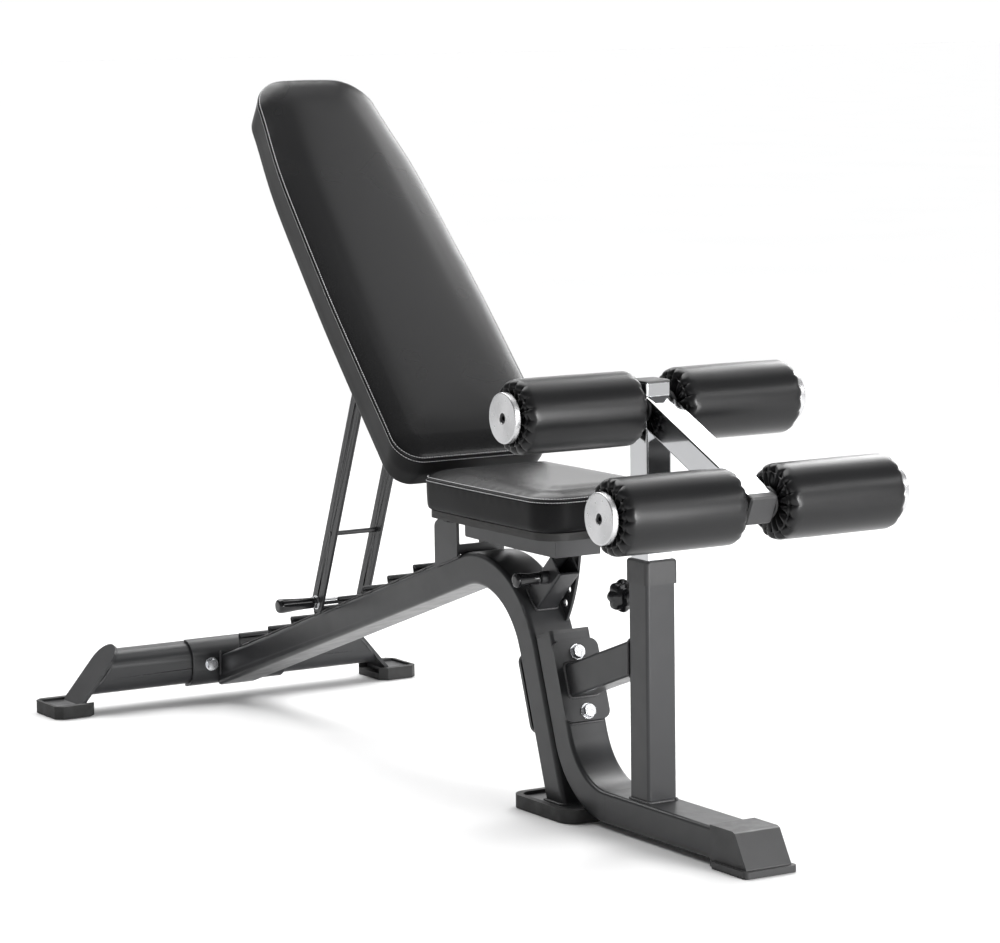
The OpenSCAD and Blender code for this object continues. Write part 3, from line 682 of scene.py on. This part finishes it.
def back_tweak(s, y, z):
    """Arches the top end, and draws the lower end up, away from the seat."""
    u = (s - S0) / LEN
    y *= float(np.interp(s, bow_s, bow_y))
    top = min(1.0, max(0.0, (s - (S0 + LEN - ARCH_LEN)) / ARCH_LEN))
    s -= ARCH * (y / (W1 / 2)) ** 2 * top * top * (3 - 2 * top)
    lift = LIFT_BOX * min(1.0, max(0.0, (z + 30) / 30))
    lift += LIFT_CROWN * min(1.0, max(0.0, z / 16))
    return s + lift * max(0.0, 1 - u * 1.6) ** 2, y, z


BACK_PROFILE = [(42, -BOX), (28, -BOX), (16, -BOX + 0.4), (10.6, -BOX + 2.0), (8.6, -BOX + 5.5),
                (7.9, -BOX + 12), (7.0, -48), (5.8, -38), (4.4, -28), (3.2, -20), (2.0, -12),
                (1.0, -6), (0.3, -2.4), (0.0, 0.0), (1.4, 2.0), (4.0, 4.2), (8.6, 6.6),
                (15.0, 8.8), (23.6, 10.7), (34, 12.1)]
back_pad = Pad("back_pad_cover",
               [((S0 + R0, W0 / 2 - R0), R0), ((S0 + LEN - R1, W1 / 2 - R1), R1)],
               (S0 + W0 / 2, S0 + LEN - W1 / 2), BACK_PROFILE, back_world, back_tweak)

# seat pad
seat_lo, seat_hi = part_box("seat_pad")
SEAT_X0 = (seat_lo.x - POST_X) / MM
SEAT_X1 = (seat_hi.x - POST_X) / MM
SEAT_W = (seat_hi.y - seat_lo.y) / MM
SEAT_UNDER = seat_lo.z / MM
SEAT_SEAM = 492.0                            # height of the seat's seam
SEAT_BOW = 0.026                             # its sides bow out by this share of the width
SEAT_R0, SEAT_R1 = 34, 46                    # corner radii at the rear and at the front
SEAT_HALF = (SEAT_W - 6) / 2                 # half width at the ends


def seat_world(x, y, z):
    return P(x, y, SEAT_SEAM + z)


def seat_tweak(x, y, z):
    mid = (SEAT_X0 + SEAT_X1) / 2
    u = (x - mid) / ((SEAT_X1 - SEAT_X0) / 2)
    return x, y * (1 + SEAT_BOW * (1 - u * u)), z


under = SEAT_UNDER - SEAT_SEAM
SEAT_PROFILE = [(34, under), (20, under), (8.6, under + 0.4), (3.4, under + 1.8),
                (1.6, under + 5), (1.0, under + 11), (0.6, -32), (0.3, -24), (0.0, -16),
                (0.0, -10), (0.0, -5), (0.0, -2.0), (0.2, 0.0), (1.8, 2.2), (4.4, 4.5),
                (8.4, 7.0), (14, 9.4), (21, 11.4), (29, 12.8)]
seat_pad = Pad("seat_pad_cover",
               [((SEAT_X0 + SEAT_R0, SEAT_HALF - SEAT_R0), SEAT_R0),
                ((SEAT_X1 - SEAT_R1, SEAT_HALF - SEAT_R1), SEAT_R1)],
               (SEAT_X0 + SEAT_W / 2, SEAT_X1 - SEAT_W / 2), SEAT_PROFILE, seat_world, seat_tweak)


def hold(a):
    """How firmly each ring is held: the board side fully, the seam by its stitching."""
    if a < -34:
        return 1.0
    if abs(a) < 5.0:
        return 0.85
    if a < -20:
        return 0.6
    return 0.0


PRESSURE, PUFF = 3.0, 2.6                    # inside pressure, and the most it moves a point
SEAM_DEPTH, THREAD_OFFSET = 1.3, 3.1
for pad in (back_pad, seat_pad):
    pad.cloth(PRESSURE, hold)
for f in range(1, CLOTH_FRAMES + 1):
    bpy.context.scene.frame_set(f)
for pad in (back_pad, seat_pad):
    pad.settle(PUFF)
bpy.context.scene.frame_set(1)
for pad, body, node, seed in ((back_pad, "backrest", "back_pad", 5),
                              (seat_pad, "seat", "seat_pad", 9)):
    pad.sew(SEAM_DEPTH, seed)
    rows = [pad.row(THREAD_OFFSET), pad.row(-THREAD_OFFSET)]
    stitch_rows(node + "_stitches", rows, body, seed=seed)
    subdivide(pad.obj)
    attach(pad.obj, body)
    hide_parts(node)

# ---------------------------------------------------------------- rollers
R_OUT, R_IN, R = 238.0, 33.0, 54.0           # the foam's outer and inner end, and its radius
HUB, SHOULDER = 15.0, 11                     # radius of the bore, and the shoulder's rounding
FACE = R - SHOULDER                          # radius where an end face meets its shoulder
AROUND = 288


def gather(t, count, seed):
    """Rounded tops and sharp valleys, uneven like gathered cloth; 0 in a valley, 1 on top."""
    u = t * count / (2 * math.pi)
    k = int(math.floor(u))
    f = u - k
    rnd = random.Random(seed * 1000 + k % count)
    f = min(1.0, max(0.0, f + 0.5 * (rnd.random() - 0.5) * math.sin(math.pi * f)))
    return math.sin(math.pi * f) ** 0.55 * (0.75 + 0.25 * rnd.random())


def roller(side, level, axle):
    name = level + "_" + side
    sign = -1 if side == "right" else 1
    seed = {"upper_right": 1, "upper_left": 2, "lower_right": 3, "lower_left": 4}[name]
    count = 17 + seed % 2
    # profile from the inner end's hub, out over the shoulder, along, and in at the outer end
    prof, zone = [], []
    for k in range(22):                      # inner end face, hub to rim
        f = k / 21
        prof.append((R_IN + 5.0 - 4.0 * math.sin(f * math.pi * 0.5), HUB + (FACE - HUB) * f))
        zone.append(("in", f))
    for k in range(1, 13):
        a = math.pi / 2 * k / 12
        prof.append((R_IN + 1.0 + 12 - 12 * math.cos(a), FACE + SHOULDER * math.sin(a)))
        zone.append(("shoulder_in", k / 12))
    length = R_OUT - R_IN - 28
    for k in range(1, 24):
        f = k / 23
        prof.append((R_IN + 13 + length * f, R + 0.35 * math.sin(math.pi * f)))
        zone.append(("body", f))
    for k in range(1, 13):
        a = math.pi / 2 * k / 12
        prof.append((R_OUT - 15 + 13 * math.sin(a), FACE + SHOULDER * math.cos(a)))
        zone.append(("shoulder_out", k / 12))
    for k in range(1, 20):
        f = k / 19
        prof.append((R_OUT - 2.0 - 1.5 * f, FACE - (FACE - HUB) * f))
        zone.append(("out", f))

    def folds(ax, r, t, k):
        z, f = zone[k]
        if z == "in":
            h = gather(t + 0.02, count, seed)
            amp = 7.0 * math.sin(math.pi * min(1, 0.18 + 0.82 * f)) ** 0.7 * (0.55 + 0.45 * f)
            return ax + amp * (1 - h) - 3.2 * h * math.sin(math.pi * f), r
        if z == "shoulder_in":
            h = gather(t, count, seed)
            fade = (1 - f) ** 1.3
            return ax + 6.5 * fade * (1 - h), r - 4.6 * (1 - h) * (1 - f) ** 0.8
        if z == "shoulder_out":
            h = gather(t, count, seed + 20)
            fade = f ** 1.3
            return ax - 6.0 * fade * (1 - h), r - 3.2 * (1 - h) * f ** 1.2
        if z == "out":
            h = gather(t, count, seed + 20)
            amp = 6.0 * math.sin(math.pi * min(1, 0.18 + 0.82 * (1 - f))) ** 0.7
            return ax - amp * (1 - h) + (1.8 * h if r > 37.5 else 0.0), r
        soft = 0.22 * math.sin(3 * t + seed) + 0.14 * math.sin(5 * t + 2.1 * seed + f * 4)
        return ax, r + soft * math.sin(math.pi * f)

    def place(ax, u, v):
        return Vector((axle[0] + u * MM, sign * ax * MM, axle[1] + v * MM))

    verts, faces = lathe(prof, AROUND, place, folds)
    faces = [f for f in faces if len(f) == 4]
    last = (len(prof) - 1) * AROUND
    for c in range(AROUND):                  # closes the bore side
        d = (c + 1) % AROUND
        faces.append((c, d, last + d, last + c))
    o = make("roller_cover_" + name, verts, faces, MAT["roller_vinyl"], "roller_" + name)
    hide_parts("foam_" + name)
    # domed plug at the inner end, on a sleeve that runs through the foam
    dome = [(R_IN + 1.0, 20.5), (R_IN - 1.0, 22.6), (R_IN - 2.6, 22.9), (R_IN - 4.0, 22.2),
            (R_IN - 5.0, 20.6), (R_IN - 6.2, 17.6), (R_IN - 6.9, 14.2), (R_IN - 7.1, 11.4),
            (R_IN - 6.6, 10.3), (R_IN - 2.0, 10.15), (120, 10.15), (R_OUT + 1, 10.15),
            (R_OUT + 1, 13.6), (R_OUT, 14.0), (120, 14.0), (R_IN + 4, 14.0), (R_IN + 2.4, 17.0)]
    verts, faces = [], []
    n = 64
    for ax, r in dome:
        for i in range(n):
            t = 2 * math.pi * i / n
            verts.append(place(ax, r * math.cos(t), r * math.sin(t)))
    faces = grid_faces(len(dome), n, closed_rows=True)
    p = make("roller_plug_" + name, verts, faces, MAT["black_plastic"], "roller_" + name)
    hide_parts("core_" + name)


axle_boxes = {}
for level in ("upper", "lower"):
    lo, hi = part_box("foam_" + level + "_right")
    axle_boxes[level] = ((lo.x + hi.x) / 2, (lo.z + hi.z) / 2)
    for side in ("right", "left"):
        roller(side, level, axle_boxes[level])

# end discs: turned faces with rounded rims and a counterbore
disc_profile = [(240.45, 4.1), (240.45, 12), (240.45, 35.3), (240.8, 36.2), (241.6, 36.5),
                (248.4, 36.5), (249.3, 36.3), (249.8, 35.7), (249.9, 34.9), (249.9, 34.0),
                (249.85, 26), (249.85, 18), (249.85, 9.2), (249.7, 8.2), (249.2, 7.4),
                (245.5, 7.35), (243.5, 7.35), (243.45, 4.1)]
for level in ("upper", "lower"):
    ax_x, ax_z = axle_boxes[level]
    for side, sign in (("right", -1), ("left", 1)):
        verts = []
        for ax, r in disc_profile:
            for i in range(96):
                t = 2 * math.pi * i / 96
                verts.append(Vector((ax_x + r * math.cos(t) * MM, sign * ax * MM,
                                     ax_z + r * math.sin(t) * MM)))
        o = make("end_disc_%s_%s" % (level, side), verts,
                 grid_faces(len(disc_profile), 96, closed_rows=True), MAT["disc_alloy"],
                 "leg_holder", origin=Vector((ax_x, sign * 0.245, ax_z)))
        o.modifiers.new("normals", "WEIGHTED_NORMAL").weight = 60
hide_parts("end_discs")           # the first of the four stands for the node

# ---------------------------------------------------------------- knobs and grips
knob_lo, knob_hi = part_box("star_knob")
knob_x, knob_z = knob_hi.x, (knob_lo.z + knob_hi.z) / 2
star_profile = [(0, 9), (0.2, 12), (3, 14.5), (6, 17), (7.2, 20.5), (9, 23.4), (12, 24.8),
                (17, 24.9), (21, 24.2), (23.6, 22.4), (25.4, 19.6), (27.6, 17.2), (28.8, 13.5),
                (29.2, 9), (29.2, 4.5), (28.6, 3), (28.4, 0.02)]


def star_lobes(ax, r, t, k):
    depth = 2.9 * min(1.0, max(0.0, (r - 15) / 8))
    c = math.cos(8 * t)
    return ax, r - depth * (1 - (0.5 + 0.5 * c) ** 0.6)


verts, faces = lathe(star_profile, 192,
                     lambda a, u, v: Vector((knob_x - a * MM, u * MM, knob_z + v * MM)), star_lobes)
star = make("star_knob_grip", verts, faces, MAT["gloss_black"], "clamp_knob")
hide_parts("star_knob")

rod_lo, rod_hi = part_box("catch_rod")
rod_x, rod_z = (rod_lo.x + rod_hi.x) / 2, (rod_lo.z + rod_hi.z) / 2
grip_profile = [(53.1, 5.55), (53.1, 8.0), (53.6, 8.7), (55, 9.1), (60, 9.2), (70, 9.35),
                (85, 10.1), (100, 11.3), (110, 11.95), (114.5, 11.9), (117, 11.2), (118.6, 9.6),
                (119.1, 7.4), (119.1, 3.0), (119.0, 0.05)]
TURNED = 64                                  # points round a grip or the pull knob


def outer_cap(profile):
    """The face that closes the last ring; the first ring stays open round the rod."""
    last = (len(profile) - 1) * TURNED
    return tuple(range(last, last + TURNED))


for side, sign in (("right", -1), ("left", 1)):
    verts, faces = lathe(grip_profile, TURNED,
                         lambda a, u, v, s=sign: Vector((rod_x + u * MM, s * a * MM, rod_z + v * MM)))
    faces = [f for f in faces if len(f) == 4] + [outer_cap(grip_profile)]
    make("grip_" + side, verts, faces, MAT["gloss_black"], "support")
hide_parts("grips")

pull_lo, pull_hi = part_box("seat_pin_knob")
pull_x, pull_y, pull_z = (pull_lo.x + pull_hi.x) / 2, pull_hi.y, (pull_lo.z + pull_hi.z) / 2
pull_profile = [(0.0, 5.1), (0.0, 7.6), (0.6, 8.6), (2.4, 9.3), (4.5, 9.4), (8, 8.8), (14, 8.5),
                (20, 8.7), (27, 9.4), (33, 10.6), (37, 11.1), (40, 11.0), (42, 10.1), (43.2, 8.2),
                (43.6, 5.6), (43.6, 2.5), (43.5, 0.05)]
verts, faces = lathe(pull_profile, TURNED,
                     lambda a, u, v: Vector((pull_x + u * MM, pull_y - a * MM, pull_z + v * MM)))
faces = [f for f in faces if len(f) == 4] + [outer_cap(pull_profile)]
pull = make("pull_knob_grip", verts, faces, MAT["gloss_black"], "pull_pin")
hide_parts("seat_pin_knob")

# ---------------------------------------------------------------- weld beads
X, Y, Z = Vector((1, 0, 0)), Vector((0, 1, 0)), Vector((0, 0, 1))
SLOPE = math.radians(18.5)
CS, SS = math.cos(SLOPE), math.sin(SLOPE)
along = Vector((CS, 0, SS))                  # up the spine
normal = Vector((-SS, 0, CS))                # square to it
leg_dir = Vector((SS, 0, -CS))               # down the front leg
leg_out = Vector((CS, 0, SS))                # out of its front face
BEND = (-434.0, 193.5)                       # centre of the spine's bend, x and z
BEND_R = 152                                 # at the spine tube's centre line
LEG_HALF, FRAME_HALF = 25, 24                # half depths of the spine tube and the J tube
J_R = BEND_R + LEG_HALF + FRAME_HALF
J_START = (BEND[0] + J_R * CS, BEND[1] + J_R * SS)   # on the J tube's axis, level with the bend's end
BRACE_ANGLE = math.radians(19.4)
BRACE_Z = 264                                # height of the brace where it meets the post
STAB_X, STAB_Z = -1370, 66.5                 # axis of the rear stabilizer
END_ANGLE = math.radians(50)                 # lean of the stabilizer's end planes
TACKS, TACK_PITCH = 9, 94                    # short beads along each edge of the rack's strip

weld_bead("weld_post_foot", [rect_path(P(0, 0, 56.6), X, Y, 26.3, 26.3, 6)], 2.5, "base", seed=2)
brace = Vector((math.cos(BRACE_ANGLE), 0, math.sin(BRACE_ANGLE)))
weld_bead("weld_brace_post",
          [rect_path(P(-25.6, 0, BRACE_Z - 0.2), Y, Z, 26.0, 27.6, 6)], 2.0, "base", seed=3)
plate_face = P(J_START[0], 0, J_START[1]) + leg_out * 30.2 * MM
brace_start = P(-25, 0, BRACE_Z)
hit = brace_start - brace * ((brace_start - plate_face).dot(leg_out) / brace.dot(leg_out))
brace_half = 25.0 / abs(brace.dot(leg_out))
weld_bead("weld_brace_plate", [rect_path(hit, Y, leg_dir, 26.2, brace_half + 1.6, 6)],
          2.6, "base", seed=4)
plate_c = P(J_START[0], 0, J_START[1]) + leg_out * 24.3 * MM + leg_dir * 66.5 * MM
weld_bead("weld_front_plate", [
    [plate_c + Y * y0 * MM + leg_dir * 64.3 * MM for y0 in (-30, -10, 10, 30)],
], 2.2, "base", seed=5)
bracket = []
for s in (-1, 1):
    yy = s * 39.0
    bracket.append([P(-557.2, yy, 341), P(-556.6, yy, 335.2), P(-520, yy, 347.2),
                    P(-487.0, yy, 358.4), P(-485.4, yy, 363)])
bracket.append([P(-486.0, y, 355.2) for y in (-36, -12, 12, 36)])
weld_bead("weld_hinge_bracket", bracket, 2.4, "base", seed=6)
rack = []
for s in (-1, 1):
    for k in range(TACKS):
        a = (k + 1 - TACKS) * TACK_PITCH
        c = P(-539, s * 33.8, 345) + along * a * MM + normal * 0.6 * MM
        rack.append([c, c + along * 0.014, c + along * 0.028])
weld_bead("weld_ladder_rack", rack, 1.7, "base", seed=7)
stub_dir = Vector((-259.6 - BEND[0], 0, 353.0 - BEND[1])).normalized()
stub_side = Vector((-stub_dir.z, 0, stub_dir.x))
stub_base = P(BEND[0], 0, BEND[1]) + stub_dir * 177.6 * MM
weld_bead("weld_pin_stub", [rect_path(stub_base, Y, stub_side, 20.2, 20.2, 5)],
          2.0, "base", seed=8)
leg_plate_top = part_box("leg_plate")[1].z / MM
foot = P(-214, 0, leg_plate_top + 0.4)
cut = 1 / CS
weld_bead("weld_leg_plate", [rect_path(foot + X * (-3.4 * MM), X, Y, 25 * cut + 1.2, 39.2, 7)],
          2.4, "base", seed=9)
ends = []
for s in (-1, 1):
    pts = []
    for k in range(41):
        t = 2 * math.pi * k / 40
        ex, ez = 37.8 * math.cos(t), 37.3 * math.sin(t)
        # on the slanted end plane, which leans inwards as it rises
        y = 300 - (STAB_Z + ez - 18) / math.tan(END_ANGLE)
        pts.append(P(STAB_X + ex, s * (y - 0.5), STAB_Z + ez))
    ends.append(pts)
weld_bead("weld_stabilizer_ends", ends, 2.0, "base", seed=10)
saddle = []
for s in (-1, 1):
    saddle.append([P(-1325.4, s * 40.0, STAB_Z + dz) for dz in (-22, 0, 22)])
weld_bead("weld_saddle", saddle, 2.2, "base", seed=11)
weld_bead("weld_arm_post", [rect_path(P(22.6, 0, 627.2), Y, Z, 22.5, 24.2, 5)], 1.0,
          "leg_holder", seed=12, mat=MAT["chrome"])

# ---------------------------------------------------------------- stage
def plane(name, size, z, mat):
    me = bpy.data.meshes.new(name)
    h = size / 2
    me.from_pydata([(-h, -h, z), (h, -h, z), (h, h, z), (-h, h, z)], [], [(0, 1, 2, 3)])
    me.materials.append(mat)
    o = bpy.data.objects.new(name, me)
    bpy.context.scene.collection.objects.link(o)
    o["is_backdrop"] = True


floor_mat, nt, b, v = shader("floor")
nt.links.new(mix_color(nt, noise(nt, v, 1.2, 2), (0.86, 0.86, 0.86), (0.89, 0.89, 0.89)),
             b.inputs["Base Color"])
b.inputs["Roughness"].default_value = 0.85
b.inputs["Specular IOR Level"].default_value = 0.2
FLOOR_SIZE, FLOOR_Z = 160.0, -0.0006         # metres; just under the feet
plane("floor", FLOOR_SIZE, FLOOR_Z, floor_mat)

world = bpy.data.worlds.new("studio")
world.use_nodes = True
wn = world.node_tree
bg = wn.nodes["Background"]
direction = wn.nodes.new("ShaderNodeTexCoord")
sep = wn.nodes.new("ShaderNodeSeparateXYZ")
wn.links.new(direction.outputs["Generated"], sep.inputs["Vector"])
ramp = wn.nodes.new("ShaderNodeValToRGB")
# (height of the direction, brightness): white near the horizon, grey overhead
SKY_LEVELS = [(0.0, 1.0), (0.13, 1.0), (0.26, 0.50), (0.50, 0.34), (1.0, 0.34)]
while len(ramp.color_ramp.elements) < len(SKY_LEVELS):
    ramp.color_ramp.elements.new(0.5)
for e, (at, level) in zip(ramp.color_ramp.elements, SKY_LEVELS):
    e.position, e.color = at, (level, level, level * 1.005, 1)
wn.links.new(sep.outputs["Z"], ramp.inputs["Fac"])
wn.links.new(ramp.outputs["Color"], bg.inputs["Color"])
near_side = remap(wn, sep.outputs["Y"], 0.35, 1.02, -0.5, 0.0)     # dimmer at the viewer's side
wn.links.new(near_side, bg.inputs["Strength"])
bpy.context.scene.world = world


def area(name, loc, target, size, power, size_y=None):
    """A soft box at loc, aimed at target; sizes in metres, power in watts."""
    light = bpy.data.lights.new(name, "AREA")
    light.shape = "RECTANGLE"
    light.size, light.size_y = size, size_y or size
    light.energy = power
    o = bpy.data.objects.new(name, light)
    o.location = loc
    o.rotation_euler = (Vector(target) - Vector(loc)).to_track_quat("-Z", "Y").to_euler()
    bpy.context.scene.collection.objects.link(o)


sky = bpy.data.lights.new("sky_fill", "SUN")
sky.energy, sky.angle = 3.15, math.radians(56)
sky_object = bpy.data.objects.new("sky_fill", sky)
sky_object.rotation_euler = Vector((-0.55, 0.0, 0.83)).to_track_quat("Z", "Y").to_euler()
bpy.context.scene.collection.objects.link(sky_object)
area("key_front", (4.2, 0.9, 0.9), (0, 0, 0.5), 1.3, 150)
area("strip_right", (2.6, 2.0, 1.9), (0.1, 0, 0.9), 1.9, 15, 0.5)
area("rim_far", (-1.25, 2.6, 2.15), (-0.3, 0.1, 0.8), 1.5, 42, 1.2)
area("rim_high", (-0.95, 2.1, 2.85), (-0.5, 0.1, 0.8), 0.9, 9, 0.7)
area("top_far", (-0.73, 1.65, 2.48), (0.7, 0, 0.6), 1.0, 2.4)
area("top_soft", (0.15, 1.35, 2.85), (-0.2, 0, 0.8), 1.3, 6.5)
area("low_far", (-3.2, 2.4, 1.95), (0.1, 0, 0.5), 2.0, 10, 1.0)

# ---------------------------------------------------------------- camera
az, pitch, roll = math.radians(59.011), math.radians(7.25), math.radians(-0.798)
right = Vector((math.cos(az), math.sin(az), 0))
fwd = Vector((-math.sin(az) * math.cos(pitch), math.cos(az) * math.cos(pitch), -math.sin(pitch)))
up = right.cross(fwd)
cam_right = right * math.cos(roll) + up * math.sin(roll)
cam_up = up * math.cos(roll) - right * math.sin(roll)
cam_data = bpy.data.cameras.new("camera")
cam_data.sensor_fit = "HORIZONTAL"
cam_data.sensor_width = 36.0
cam_data.lens = 131.5656
cam_data.clip_end = 300
cam = bpy.data.objects.new("camera", cam_data)
pose = Matrix((cam_right, cam_up, -fwd)).transposed().to_4x4()
pose.translation = Vector((POST_X + 4.3867, -2.8892, 1.2099))
cam.matrix_world = pose
bpy.context.scene.collection.objects.link(cam)
bpy.context.scene.camera = cam

lo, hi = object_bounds()
